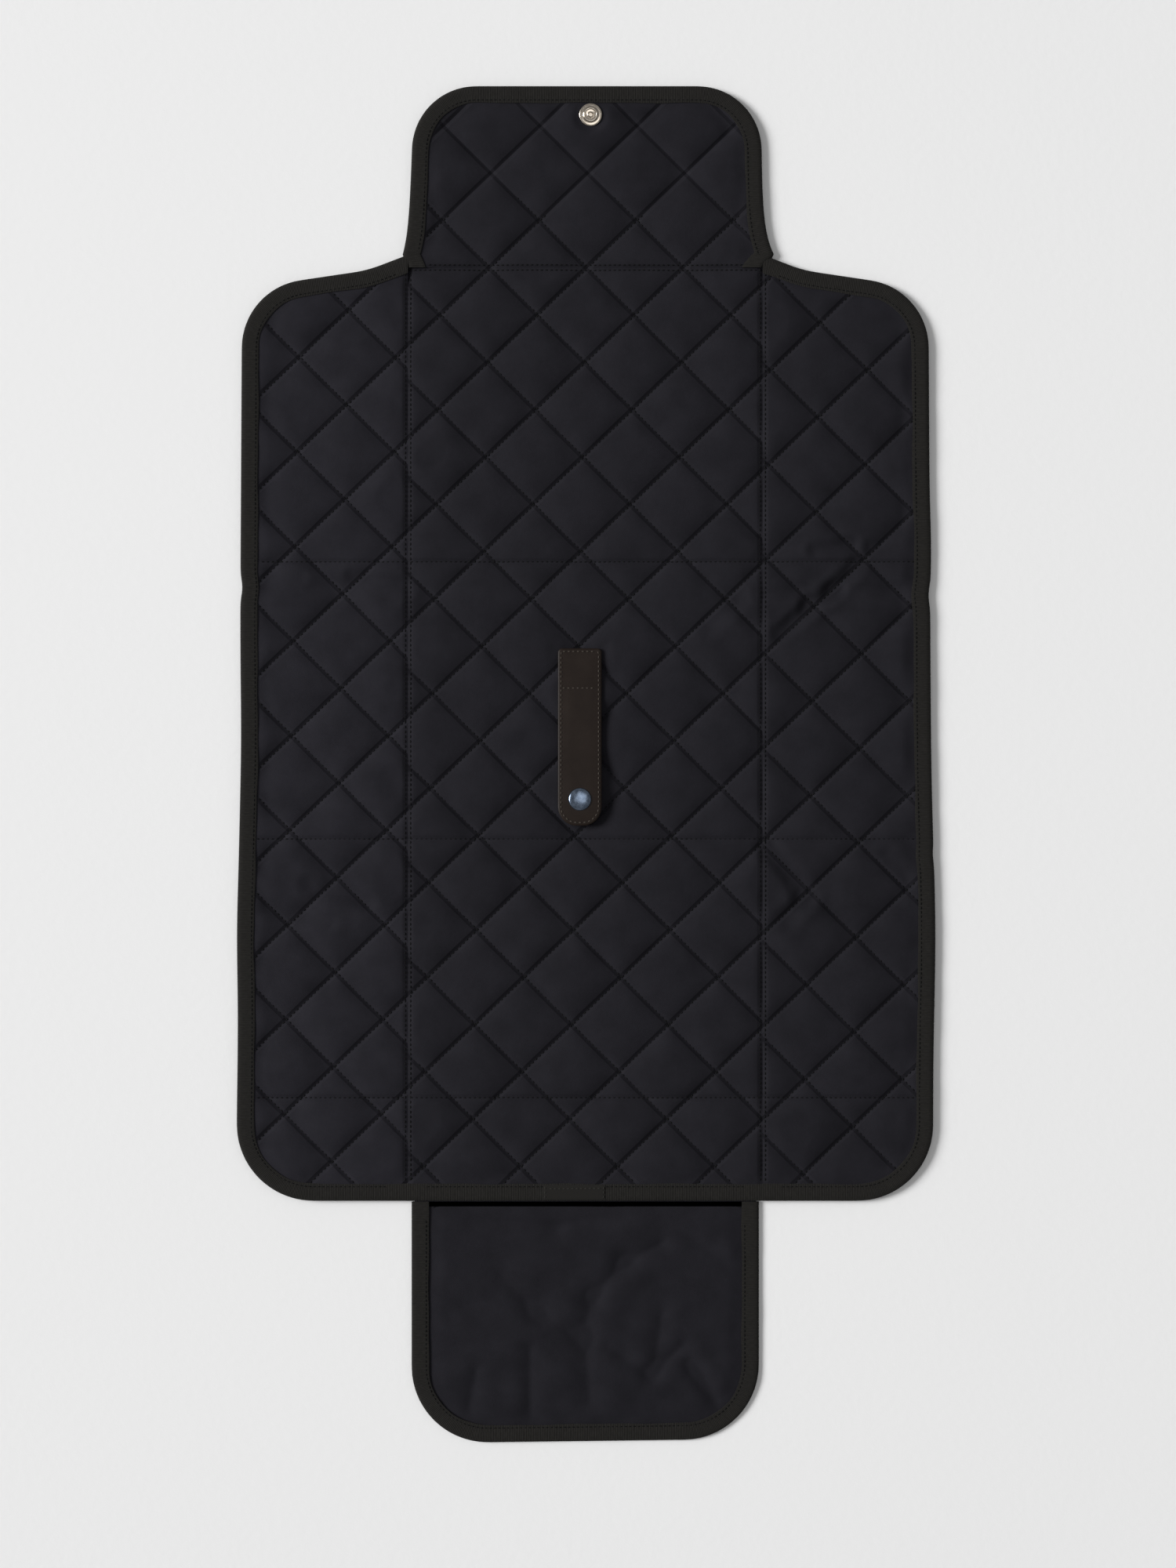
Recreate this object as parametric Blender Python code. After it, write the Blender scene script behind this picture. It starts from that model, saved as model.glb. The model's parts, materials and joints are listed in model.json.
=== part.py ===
"""A fold-out quilted changing mat: a bound, padded body with two wings and a top flap, a plain
lower flap, and a leather tab with a press stud.

The frame is +Z up, with the origin on the floor under the middle of the opened mat. +Y runs to
the top flap. Lengths below are in millimetres and are turned into metres as meshes are made.
"""

import math

import bmesh
import bpy
from mathutils import Vector

MM = 0.001
GAP = 0.3  # between neighbouring pieces

# Outline of the opened mat
FOLD_X = 122.0  # the wings' fold lines, either side of the middle
FLAP_FOLD_Y = 342.0
BOTTOM_Y = -300.0
SHOULDER_Y = 351.0  # top edge of a wing, beside its fold line
SHOULDER_KNEE = (150.0, 340.3, 90.0)  # where the same edge levels out
SHOULDER_OUT_Y = 327.5  # the same edge, at its outer corner
SHOULDER_R = 47.0
WING_TOP_X = 236.0
WING_BOTTOM_X = 240.0
CORNER_R = 52.0  # of the wings' bottom corners and the lower flap
CORNER_STEPS = 8

TOP_FLAP_Y = 467.0
TOP_FLAP_X = 119.0
TOP_FLAP_R = 44.0
LOWER_FLAP_Y = -467.0
LOWER_FLAP_X = 119.5
LOWER_SEAM_Y = -229.0  # the seam behind the body that the lower flap's hidden part is sewn to

# Heights of the layers
TAPE = 0.6  # thickness of the binding tape
TAPE_WIDTH = 11.8
TAPE_INSET = 1.2  # from the tape's fold to the edge of the cloth in it
BODY_TOP = 4.8
BACKING = (0.9, 1.4)
WADDING = (1.7, 3.1)
FACE = (3.4, 3.9)
FLAP_TOP = 2.4
FLAP_CLOTH = (0.9, 1.5)
FLAP_ROOT = (0.0, 0.6)

# Hinge lines
BODY_FOLD_Z = 5.0
LOWER_FOLD_Y = BOTTOM_Y - 0.6
LOWER_FOLD_Z = 3.9

# Leather tab
TAB_X = -3.7
TAB_WIDTH = 30.0
TAB_TOP_Y = 80.0
TAB_SEAM_Y = 52.7
TAB_END_Y = -42.0
TAB_BOTTOM = 4.2
TAB_PLY = 1.0
TAB_TILT = math.radians(2.4)  # the socket under it holds the free end up
TAB_END_R = 13.0
TAB_TOP_R = 3.0
TAB_FOLD_Z = TAB_BOTTOM + 2 * TAB_PLY + 2 * GAP

# Press studs
STUD_Y = -23.7
CAP_R = 7.8
CAP_HIGH = 1.6
SOCKET_R = 6.0
SOCKET_HIGH = 2.2
SNAP_X = 3.7
SNAP_Y = 447.0
SNAP_R = 7.8
POST_R = 1.5
HOLE_R = POST_R + GAP
ROUND_STEPS = 24

MATERIALS = {
    "quilted_cloth": ((0.012, 0.012, 0.015), 0.85, 0.0),
    "plain_cloth": ((0.012, 0.012, 0.015), 0.8, 0.0),
    "wadding": ((0.75, 0.75, 0.72), 0.95, 0.0),
    "backing_cloth": ((0.02, 0.02, 0.022), 0.8, 0.0),
    "binding_tape": ((0.014, 0.014, 0.013), 0.9, 0.0),
    "leather": ((0.022, 0.018, 0.015), 0.5, 0.0),
    "dark_metal": ((0.12, 0.15, 0.2), 0.25, 1.0),
    "bright_metal": ((0.7, 0.66, 0.6), 0.25, 1.0),
}


def clear_scene():
    for thing in list(bpy.data.objects):
        bpy.data.objects.remove(thing, do_unlink=True)


def material(name):
    found = bpy.data.materials.get(name)
    if found:
        return found
    colour, rough, metal = MATERIALS[name]
    made = bpy.data.materials.new(name)
    made.use_nodes = True
    shader = made.node_tree.nodes["Principled BSDF"]
    shader.inputs["Base Color"].default_value = (*colour, 1.0)
    shader.inputs["Roughness"].default_value = rough
    shader.inputs["Metallic"].default_value = metal
    return made


def hinge(name, x, y, z, tilt=0.0):
    """An empty on a joint's axis, which the pieces that move are children of."""
    empty = bpy.data.objects.new(name, None)
    bpy.context.collection.objects.link(empty)
    empty.location = Vector((x, y, z)) * MM
    empty.rotation_euler.x = tilt
    return empty


def finish(name, bm, look, parent=None, smooth=False):
    """Turns a bmesh in millimetres into a named object, with its origin on its parent's axis."""
    start = Vector(parent.location) if parent else Vector((0, 0, 0))
    for vert in bm.verts:
        vert.co = vert.co * MM - start
    bmesh.ops.recalc_face_normals(bm, faces=bm.faces)
    mesh = bpy.data.meshes.new(name)
    bm.to_mesh(mesh)
    bm.free()
    thing = bpy.data.objects.new(name, mesh)
    bpy.context.collection.objects.link(thing)
    mesh.materials.append(material(look))
    if smooth:
        mesh.shade_smooth()
        mesh.set_sharp_from_angle(angle=math.radians(35))
    if parent:
        thing.parent = parent
    return thing


def rounded(corners):
    """Points along a path of (x, y, radius) corners, each turned by an arc of that radius."""
    points = []
    for index, (x, y, radius) in enumerate(corners):
        here = Vector((x, y))
        if radius == 0:
            points.append(here)
            continue
        before = (Vector(corners[index - 1][:2]) - here).normalized()
        after = (Vector(corners[(index + 1) % len(corners)][:2]) - here).normalized()
        half = before.angle(after) / 2
        reach = radius / math.tan(half)
        centre = here + (before + after).normalized() * (radius / math.sin(half))
        first = here + before * reach - centre
        last = here + after * reach - centre
        turn = first.angle_signed(last)
        for step in range(CORNER_STEPS + 1):
            angle = -turn * step / CORNER_STEPS
            cos, sin = math.cos(angle), math.sin(angle)
            spot = Vector((first.x * cos - first.y * sin, first.x * sin + first.y * cos))
            points.append(centre + spot)
    return points


def inset(path, distance):
    """The open path moved to its left by a distance. Its two ends slide along the straight cut
    that joins them, unless the path itself is straight."""
    moved = []
    cut = (path[-1] - path[0]).normalized()
    for index, point in enumerate(path):
        sides = []
        if index > 0:
            sides.append((point - path[index - 1]).normalized())
        if index < len(path) - 1:
            sides.append((path[index + 1] - point).normalized())
        along = sum(sides, Vector((0, 0))).normalized()
        normal = Vector((-along.y, along.x))
        way = normal
        if len(sides) == 1 and abs(along.dot(cut)) < 0.9:
            way = cut if index == 0 else -cut
        square = Vector((-sides[0].y, sides[0].x))
        moved.append(point + way * distance / way.dot(square))
    return moved


def slab(name, outline, low, high, look, parent=None):
    bm = bmesh.new()
    base = [bm.verts.new((p.x, p.y, low)) for p in outline]
    face = bm.faces.new(base)
    lifted = bmesh.ops.extrude_face_region(bm, geom=[face])["geom"]
    up = [g for g in lifted if isinstance(g, bmesh.types.BMVert)]
    bmesh.ops.translate(bm, verts=up, vec=(0, 0, high - low))
    return finish(name, bm, look, parent)


def binding(name, path, top, parent=None):
    """Tape folded over an edge: a C section swept along the path, open towards the cloth."""
    section = [
        (0, 0),
        (TAPE_WIDTH, 0),
        (TAPE_WIDTH, TAPE),
        (TAPE, TAPE),
        (TAPE, top - TAPE),
        (TAPE_WIDTH, top - TAPE),
        (TAPE_WIDTH, top),
        (0, top),
    ]
    bm = bmesh.new()
    rails = []
    for across, height in section:
        rail = inset(path, across)
        rails.append([bm.verts.new((p.x, p.y, height)) for p in rail])
    for step in range(len(path) - 1):
        for index, rail in enumerate(rails):
            beside = rails[(index + 1) % len(rails)]
            bm.faces.new((rail[step], rail[step + 1], beside[step + 1], beside[step]))
    for end in (0, -1):
        bm.faces.new([rail[end] for rail in rails])
    return finish(name, bm, "binding_tape", parent)


def turned(name, x, y, profile, look, parent=None):
    """A round piece from its (radius, height) profile, closed on its own axis."""
    bm = bmesh.new()
    rings = []
    for radius, height in profile:
        if radius == 0:
            rings.append([bm.verts.new((x, y, height))])
            continue
        ring = []
        for step in range(ROUND_STEPS):
            angle = 2 * math.pi * step / ROUND_STEPS
            spot = (x + radius * math.cos(angle), y + radius * math.sin(angle), height)
            ring.append(bm.verts.new(spot))
        rings.append(ring)
    for ring, beside in zip(rings, rings[1:]):
        for step in range(ROUND_STEPS):
            after = (step + 1) % ROUND_STEPS
            if len(ring) == 1:
                bm.faces.new((ring[0], beside[step], beside[after]))
            elif len(beside) == 1:
                bm.faces.new((ring[step], beside[0], ring[after]))
            else:
                bm.faces.new((ring[step], beside[step], beside[after], ring[after]))
    return finish(name, bm, look, parent, smooth=True)


def punch(thing, x, y, low, high, parent):
    """A hole for a press stud's post."""
    profile = [(0, low), (HOLE_R, low), (HOLE_R, high), (0, high)]
    cutter = turned(thing.name + "_hole", x, y, profile, "dark_metal", parent)
    cutter.hide_render = True
    cutter.display_type = "WIRE"
    cut = thing.modifiers.new("Hole", "BOOLEAN")
    cut.operation = "DIFFERENCE"
    cut.solver = "EXACT"
    cut.object = cutter


def layers(name, outline, parent=None):
    """Backing cloth, wadding and quilted face cloth, one over another."""
    backing = slab(name + "_backing", outline, *BACKING, "backing_cloth", parent)
    wadding = slab(name + "_wadding", outline, *WADDING, "wadding", parent)
    face = slab(name + "_face", outline, *FACE, "quilted_cloth", parent)
    return [backing, wadding, face]


def build_centre():
    side = FOLD_X - GAP
    top = FLAP_FOLD_Y - GAP
    edge = [Vector((-side, BOTTOM_Y)), Vector((side, BOTTOM_Y))]
    cloth = inset(edge, TAPE_INSET)
    layers("centre", [*cloth, Vector((side, top)), Vector((-side, top))])
    binding("bottom_binding", edge, BODY_TOP)
    low = BOTTOM_Y + TAPE_WIDTH + GAP
    half = LOWER_FLAP_X
    hem = [(-half, low), (half, low), (half, LOWER_SEAM_Y), (-half, LOWER_SEAM_Y)]
    slab("lower_flap_hem", [Vector(p) for p in hem], *FLAP_ROOT, "plain_cloth")


def build_wing(name, sign):
    """One wing, on the side that sign gives: -1 for the left, 1 for the right."""
    axis = hinge(name + "_axis", sign * FOLD_X, 0, BODY_FOLD_Z)
    root = FOLD_X + GAP
    corners = [
        (root, BOTTOM_Y, 0),
        (WING_BOTTOM_X, BOTTOM_Y, CORNER_R),
        (WING_TOP_X, SHOULDER_OUT_Y, SHOULDER_R),
        SHOULDER_KNEE,
        (root, SHOULDER_Y, 0),
    ]
    path = rounded(corners)
    if sign < 0:
        path = [Vector((-p.x, p.y)) for p in reversed(path)]
    cloth = inset(path, TAPE_INSET)
    layers(name, cloth, axis)
    binding(name + "_binding", path, BODY_TOP, axis)


def build_top_flap():
    axis = hinge("top_flap_axis", 0, FLAP_FOLD_Y, BODY_FOLD_Z)
    root_x = FOLD_X - GAP
    root_y = FLAP_FOLD_Y + GAP
    corners = [
        (root_x, root_y, 0),
        (TOP_FLAP_X, TOP_FLAP_Y, TOP_FLAP_R),
        (-TOP_FLAP_X, TOP_FLAP_Y, TOP_FLAP_R),
        (-root_x, root_y, 0),
    ]
    path = rounded(corners)
    for layer in layers("top_flap", inset(path, TAPE_INSET), axis):
        punch(layer, SNAP_X, SNAP_Y, -1, BODY_TOP + 1, axis)
    binding("top_flap_binding", path, BODY_TOP, axis)
    base = FACE[1] + GAP
    stud = [
        (0, GAP + TAPE),
        (POST_R, GAP + TAPE),
        (POST_R, base),
        (SNAP_R, base),
        (SNAP_R, base + 0.5),
        (SNAP_R - 1.2, base + 1.0),
        (4.6, base + 1.1),
        (4.4, base + 2.4),
        (3.6, base + 2.6),
        (2.6, base + 2.2),
        (2.4, base + 1.4),
        (1.2, base + 1.4),
        (1.0, base + 0.8),
        (0, base + 0.8),
    ]
    turned("flap_snap_stud", SNAP_X, SNAP_Y, stud, "bright_metal", axis)
    plate = [(0, 0), (SNAP_R - 1, 0), (SNAP_R - 0.6, 0.3), (SNAP_R - 1, TAPE), (0, TAPE)]
    turned("flap_snap_back_plate", SNAP_X, SNAP_Y, plate, "bright_metal", axis)


def build_lower_flap():
    axis = hinge("lower_flap_axis", 0, LOWER_FOLD_Y, LOWER_FOLD_Z)
    root_y = LOWER_FOLD_Y - GAP
    corners = [
        (-LOWER_FLAP_X, root_y, 0),
        (-LOWER_FLAP_X, LOWER_FLAP_Y, CORNER_R),
        (LOWER_FLAP_X, LOWER_FLAP_Y, CORNER_R),
        (LOWER_FLAP_X, root_y, 0),
    ]
    path = rounded(corners)
    slab("lower_flap_cloth", inset(path, TAPE_INSET), *FLAP_CLOTH, "plain_cloth", axis)
    binding("lower_flap_binding", path, FLAP_TOP, axis)


def build_tab():
    left = TAB_X - TAB_WIDTH / 2
    right = TAB_X + TAB_WIDTH / 2
    lining = (TAB_BOTTOM, TAB_BOTTOM + TAB_PLY)
    outer = (lining[1] + GAP, lining[1] + GAP + TAB_PLY)
    fixed = [
        (left, TAB_SEAM_Y + GAP, 0),
        (right, TAB_SEAM_Y + GAP, 0),
        (right, TAB_TOP_Y, TAB_TOP_R),
        (left, TAB_TOP_Y, TAB_TOP_R),
    ]
    slab("tab_sewn_end_lining", rounded(fixed), *lining, "leather")
    slab("tab_sewn_end_leather", rounded(fixed), *outer, "leather")
    axis = hinge("tab_axis", 0, TAB_SEAM_Y, TAB_FOLD_Z, -TAB_TILT)
    free = [
        (left, TAB_SEAM_Y - GAP, 0),
        (left, TAB_END_Y, TAB_END_R),
        (right, TAB_END_Y, TAB_END_R),
        (right, TAB_SEAM_Y - GAP, 0),
    ]
    for name, height in (("tab_lining", lining), ("tab_leather", outer)):
        ply = slab(name, rounded(free), *height, "leather", axis)
        punch(ply, TAB_X, STUD_Y, TAB_BOTTOM - 1, outer[1] + 1, axis)
    base = outer[1] + GAP
    cap = [
        (0, TAB_BOTTOM),
        (POST_R, TAB_BOTTOM),
        (POST_R, base),
        (CAP_R, base),
        (CAP_R, base + 0.5),
        (CAP_R * 0.9, base + CAP_HIGH * 0.65),
        (CAP_R * 0.6, base + CAP_HIGH * 0.92),
        (0, base + CAP_HIGH),
    ]
    turned("tab_snap_cap", TAB_X, STUD_Y, cap, "dark_metal", axis)
    under = TAB_BOTTOM - GAP
    socket = [
        (0, under - 0.6),
        (2.6, under - 0.6),
        (2.8, under - SOCKET_HIGH),
        (SOCKET_R - 1, under - SOCKET_HIGH),
        (SOCKET_R, under - 0.6),
        (SOCKET_R, under),
        (0, under),
    ]
    turned("tab_snap_socket", TAB_X, STUD_Y, socket, "bright_metal", axis)


clear_scene()
build_centre()
build_wing("left_wing", -1)
build_wing("right_wing", 1)
build_top_flap()
build_lower_flap()
build_tab()
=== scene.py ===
"""The looks of the quilted changing mat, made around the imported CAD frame.

Shapes are worked out in millimetres, in the frame's own axes, and scaled to metres as meshes
are made. +Y runs to the top flap and +Z up out of the quilted face.
"""

import json
import math

import bpy
import numpy as np
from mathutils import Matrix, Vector


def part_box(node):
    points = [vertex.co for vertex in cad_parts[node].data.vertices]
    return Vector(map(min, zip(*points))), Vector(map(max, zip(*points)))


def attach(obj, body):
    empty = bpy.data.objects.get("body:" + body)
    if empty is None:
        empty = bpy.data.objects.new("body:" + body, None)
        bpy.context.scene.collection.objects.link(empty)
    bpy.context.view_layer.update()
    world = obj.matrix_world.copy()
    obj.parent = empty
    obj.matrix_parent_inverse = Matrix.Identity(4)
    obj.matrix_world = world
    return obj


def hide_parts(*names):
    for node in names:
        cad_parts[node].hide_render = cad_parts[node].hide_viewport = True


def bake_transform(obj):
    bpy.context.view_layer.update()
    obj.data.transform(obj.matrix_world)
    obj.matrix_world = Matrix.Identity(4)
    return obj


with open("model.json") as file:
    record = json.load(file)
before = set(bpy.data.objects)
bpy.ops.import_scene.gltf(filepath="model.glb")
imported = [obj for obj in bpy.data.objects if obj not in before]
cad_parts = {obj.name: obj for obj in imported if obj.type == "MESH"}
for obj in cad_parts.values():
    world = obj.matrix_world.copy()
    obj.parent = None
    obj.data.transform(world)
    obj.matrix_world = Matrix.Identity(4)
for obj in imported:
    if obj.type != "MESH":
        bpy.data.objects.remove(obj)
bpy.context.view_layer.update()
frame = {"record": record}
MM = 0.001


def box_mm(node):
    low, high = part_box(node)
    return [v / MM for v in low], [v / MM for v in high]


# Places taken from the frame
JOINTS = {j["name"]: j for j in frame["record"]["behaviour"]["joints"]}
FOLD_X = JOINTS["right_wing_fold"]["pos_m"][0] / MM
FLAP_FOLD_Y = JOINTS["top_flap_fold"]["pos_m"][1] / MM
LOWER_FOLD_Y = JOINTS["lower_flap_fold"]["pos_m"][1] / MM
TAB_FOLD_Y = JOINTS["tab_lift"]["pos_m"][1] / MM
TAB_FOLD_Z = JOINTS["tab_lift"]["pos_m"][2] / MM
BOTTOM_Y = box_mm("bottom_binding")[0][1]
SHOULDER_Y = box_mm("right_wing_binding")[1][1]
WING_X = box_mm("right_wing_binding")[1][0]
TOP_Y = box_mm("top_flap_binding")[1][1]
LOWER_Y = box_mm("lower_flap_binding")[0][1]
LOWER_X = box_mm("lower_flap_binding")[1][0]
SEWN_LOW, SEWN_HIGH = box_mm("tab_sewn_end_leather")
TAB_LOW = box_mm("tab_leather")[0]
SNAP_LOW, SNAP_HIGH = box_mm("flap_snap_stud")
SNAP_X = (SNAP_LOW[0] + SNAP_HIGH[0]) / 2
SNAP_Y = (SNAP_LOW[1] + SNAP_HIGH[1]) / 2
SNAP_R = (SNAP_HIGH[0] - SNAP_LOW[0]) / 2
TAB_X = (SEWN_LOW[0] + SEWN_HIGH[0]) / 2
TAB_HALF = (SEWN_HIGH[0] - SEWN_LOW[0]) / 2

# Outline
CORNER_R = 52.0
SHOULDER_R = 47.0
SHOULDER_DROP = 23.5
SHOULDER_KNEE = (150.0, 10.7, 90.0)  # how far out, how far down, and its radius
WING_TAPER = 3.5
TOP_FLAP_R = 44.0
FLAP_LEAN = 1.6  # the opened top flap lies a little to the right
FLAP_TAPER = 2.6
FLARE_LEFT = 4.0  # how far the top flap's sides spread where they meet the wings
FLARE_RIGHT = 8.0
TAPE_WIDTH = 11.8
TAPE_TOP = 5.0
TAPE_JOIN = (-29.0, 14.0)  # where its ends overlap, from left to right
LOWER_TAPE_TOP = 2.7
TAPE_STITCH = 3.0
TAPE_THREAD = 0.3

# Quilting: two families of stitched lines, each with a point, a direction and a spacing
QUILT_POINT = (-10.0, -243.8)
QUILT_ACROSS = 66.7
QUILT_UP = 65.1
QUILT_LEAN = 1.3  # how far a cell's top leans to the right
CROSS_SEAMS = (139.6, -51.0, -229.0)
SEAM_REACH = 260.0
STITCH = 3.3  # from one stitch to the next
STITCH_SHARE = 0.68  # of that length, how much the thread shows
THREAD = 0.42  # radius
GRID = 1.7  # of the cloth's mesh
CREST = 6.0  # highest part of the padding
VALLEY = 2.0  # at the quilting lines
UNDERSIDE = 0.5
RIM_TOP = 4.1  # where the padding meets the tape
RIM_BOTTOM = 0.9
FOLD_TOP = 4.3  # at a fold, so that folded panels stay clear of each other
SEAM_HALF = 1.8  # from a fold to the row of stitches on each side of it
SEAM_CLEAR = 1.6  # other stitches keep this far from a fold
FALLING_CLEAR = 6.0  # and falling lines stop where they start to step sideways
FLAP_STUD_BASE = 4.4  # height that the top flap's stud sits at

# Leather tab
TAB_TILT = math.radians(2.4)  # the socket under its lower end props it up
TAB_END_R = 13.0
TAB_TOP_R = 3.0
TAB_TIP_Y = TAB_LOW[1] + 0.15
TAB_TOP_Z = SEWN_HIGH[2]
TAB_BASE_Z = box_mm("tab_sewn_end_lining")[0][2]
TAB_STITCH_IN = 2.1  # from the leather's edge
TAB_STITCH = 3.2
TAB_STITCH_SHARE = 0.6

# Webs: the sewn strips across the folds
WEB_WIDTH = 9.0
WEB_THICK = 0.5
WEB_STEPS = 13
WEB_ROWS = 61
WEB_TOP = 1.6
LOWER_WEB_TOP = 1.5


def quilt_family(lean):
    """Unit direction, unit normal and spacing of one family of quilting lines."""
    along = np.array([(lean * QUILT_ACROSS + QUILT_LEAN) / 2, QUILT_UP / 2])
    along /= np.linalg.norm(along)
    normal = np.array([along[1], -along[0]])
    return along, normal, abs(QUILT_ACROSS * normal[0])


RISING = quilt_family(1)
FALLING = quilt_family(-1)
# The fold seams take up a little cloth, so the falling lines step sideways across them
LEFT_SHIFT = 5.0
RIGHT_SHIFT = -7.5


# Outlines


def arc_corner(before, corner, after, radius):
    """Points of the arc that rounds a corner."""
    steps = 14
    corner = Vector(corner)
    back = (Vector(before) - corner).normalized()
    ahead = (Vector(after) - corner).normalized()
    half = back.angle(ahead) / 2
    reach = radius / math.tan(half)
    centre = corner + (back + ahead).normalized() * (radius / math.sin(half))
    first = corner + back * reach - centre
    turn = first.angle_signed(corner + ahead * reach - centre)
    points = []
    for step in range(steps + 1):
        angle = -turn * step / steps
        cos, sin = math.cos(angle), math.sin(angle)
        spot = Vector((first.x * cos - first.y * sin, first.x * sin + first.y * cos))
        points.append(tuple(centre + spot))
    return points


def run_along(points):
    """How far along a path each of its points is."""
    steps = np.linalg.norm(np.diff(points, axis=0), axis=1)
    return np.concatenate([[0], np.cumsum(steps)])


def resample(points, spacing):
    """The same path, with points at even steps along it."""
    points = np.array(points, float)
    run = run_along(points)
    count = max(2, int(round(run[-1] / spacing)) + 1)
    at = np.linspace(0, run[-1], count)
    return np.stack([np.interp(at, run, points[:, k]) for k in (0, 1)], axis=1)


def left_ways(points):
    """Unit directions square to a path, on its left."""
    ahead = np.gradient(points, axis=0)
    ahead /= np.linalg.norm(ahead, axis=1)[:, None]
    return np.stack([-ahead[:, 1], ahead[:, 0]], axis=1)


# Where each wing's edge is pushed out of line: height, half length and push
EDGE_PUSHES = {
    -1: [(122, 7, -1.3), (15, 55, -1.0), (-115, 42, 1.0), (-245, 40, 0.4)],
    1: [(117, 8, -1.3), (150, 30, 0.8), (-112, 75, 2.3), (-62, 6, -0.6)],
}


def wing_path(sign):
    """Outer edge of a wing, with the cloth on its left; sign is -1 for the left wing."""
    bottom = (WING_X, BOTTOM_Y)
    shoulder = (WING_X - WING_TAPER, SHOULDER_Y - SHOULDER_DROP)
    knee = (SHOULDER_KNEE[0], SHOULDER_Y - SHOULDER_KNEE[1])
    start = (FOLD_X, BOTTOM_Y)
    end = (FOLD_X, SHOULDER_Y)
    points = [start]
    points += arc_corner(start, bottom, shoulder, CORNER_R)
    points += arc_corner(bottom, shoulder, knee, SHOULDER_R)
    points += arc_corner(shoulder, knee, end, SHOULDER_KNEE[2])
    points.append(end)
    points = resample(points, 3.0)
    outer = smooth(points[:, 0], FOLD_X + 40, WING_X - 10)
    for place, reach, push in EDGE_PUSHES[sign]:
        points[:, 0] += push * outer * np.exp(-(((points[:, 1] - place) / reach) ** 2))
    if sign < 0:
        points = points[::-1] * (-1, 1)
    return [tuple(p) for p in points.tolist()]


def top_flap_path():
    start = (FOLD_X, FLAP_FOLD_Y)
    right = (FOLD_X - FLAP_TAPER + FLAP_LEAN, TOP_Y)
    left = (FLAP_TAPER - FOLD_X + FLAP_LEAN, TOP_Y)
    end = (-FOLD_X, FLAP_FOLD_Y)
    points = [start]
    points += arc_corner(start, right, left, TOP_FLAP_R)
    points += arc_corner(right, left, end, TOP_FLAP_R)
    points.append(end)
    points = resample(points, 3.0)
    up = points[:, 1] - FLAP_FOLD_Y
    flare = smooth(up, 0, 9) * np.exp(-np.clip(up - 9, 0, None) / 16)
    points[:, 0] += flare * np.where(points[:, 0] > 0, FLARE_RIGHT, -FLARE_LEFT)
    return [tuple(p) for p in points.tolist()]


def lower_flap_path():
    start = (-LOWER_X, LOWER_FOLD_Y)
    left = (-LOWER_X, LOWER_Y)
    right = (LOWER_X, LOWER_Y + 3.0)
    end = (LOWER_X, LOWER_FOLD_Y)
    points = [start]
    points += arc_corner(start, left, right, CORNER_R)
    points += arc_corner(left, right, end, CORNER_R)
    points.append(end)
    return points


def edge_distance(x, y, path):
    """Distance from each point to a path of straight pieces."""
    best = np.full(x.shape, 1e9)
    for (ax, ay), (bx, by) in zip(path, path[1:]):
        dx, dy = bx - ax, by - ay
        share = ((x - ax) * dx + (y - ay) * dy) / (dx * dx + dy * dy + 1e-12)
        share = np.clip(share, 0, 1)
        best = np.minimum(best, np.hypot(x - ax - share * dx, y - ay - share * dy))
    return best


def inside(x, y, ring):
    """Whether each point is inside a closed ring."""
    found = np.zeros(x.shape, bool)
    for (ax, ay), (bx, by) in zip(ring, [*ring[1:], ring[0]]):
        if ay == by:
            continue
        crosses = (ay > y) != (by > y)
        found ^= crosses & (x < (bx - ax) * (y - ay) / (by - ay) + ax)
    return found


# Heights of the padding


def smooth(value, low, high):
    share = np.clip((value - low) / (high - low), 0, 1)
    return share * share * (3 - 2 * share)


def fold_distance(x, y):
    return np.minimum(np.abs(np.abs(x) - FOLD_X), np.abs(y - FLAP_FOLD_Y))


def falling_shift(x):
    left = LEFT_SHIFT * (1 - smooth(x, -FOLD_X - 5, -FOLD_X + 3))
    return left + RIGHT_SHIFT * smooth(x, FOLD_X - 3, FOLD_X + 5)


def line_distance(x, y, family):
    """Distance to the nearest line of a family, and which cell the point is in."""
    _, normal, spacing = family
    across = (x - QUILT_POINT[0]) * normal[0] + (y - QUILT_POINT[1]) * normal[1]
    if family is FALLING:
        across = across - falling_shift(x)
    near = np.abs(across - spacing * np.round(across / spacing))
    return near, np.floor(across / spacing).astype(int)


# How full each cell of the quilting is, which way it leans, and slow waves in the cloth,
# each with a direction, a length and a phase
rng = np.random.default_rng(7)
CELL_PUFF = rng.uniform(0.7, 1.0, (64, 64))
CELL_TILT = rng.uniform(-1, 1, (64, 64, 2))
WAVES = [
    (rng.uniform(0, math.pi), rng.uniform(60, 170), rng.uniform(0, 2 * math.pi))
    for _ in range(9)
]

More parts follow.
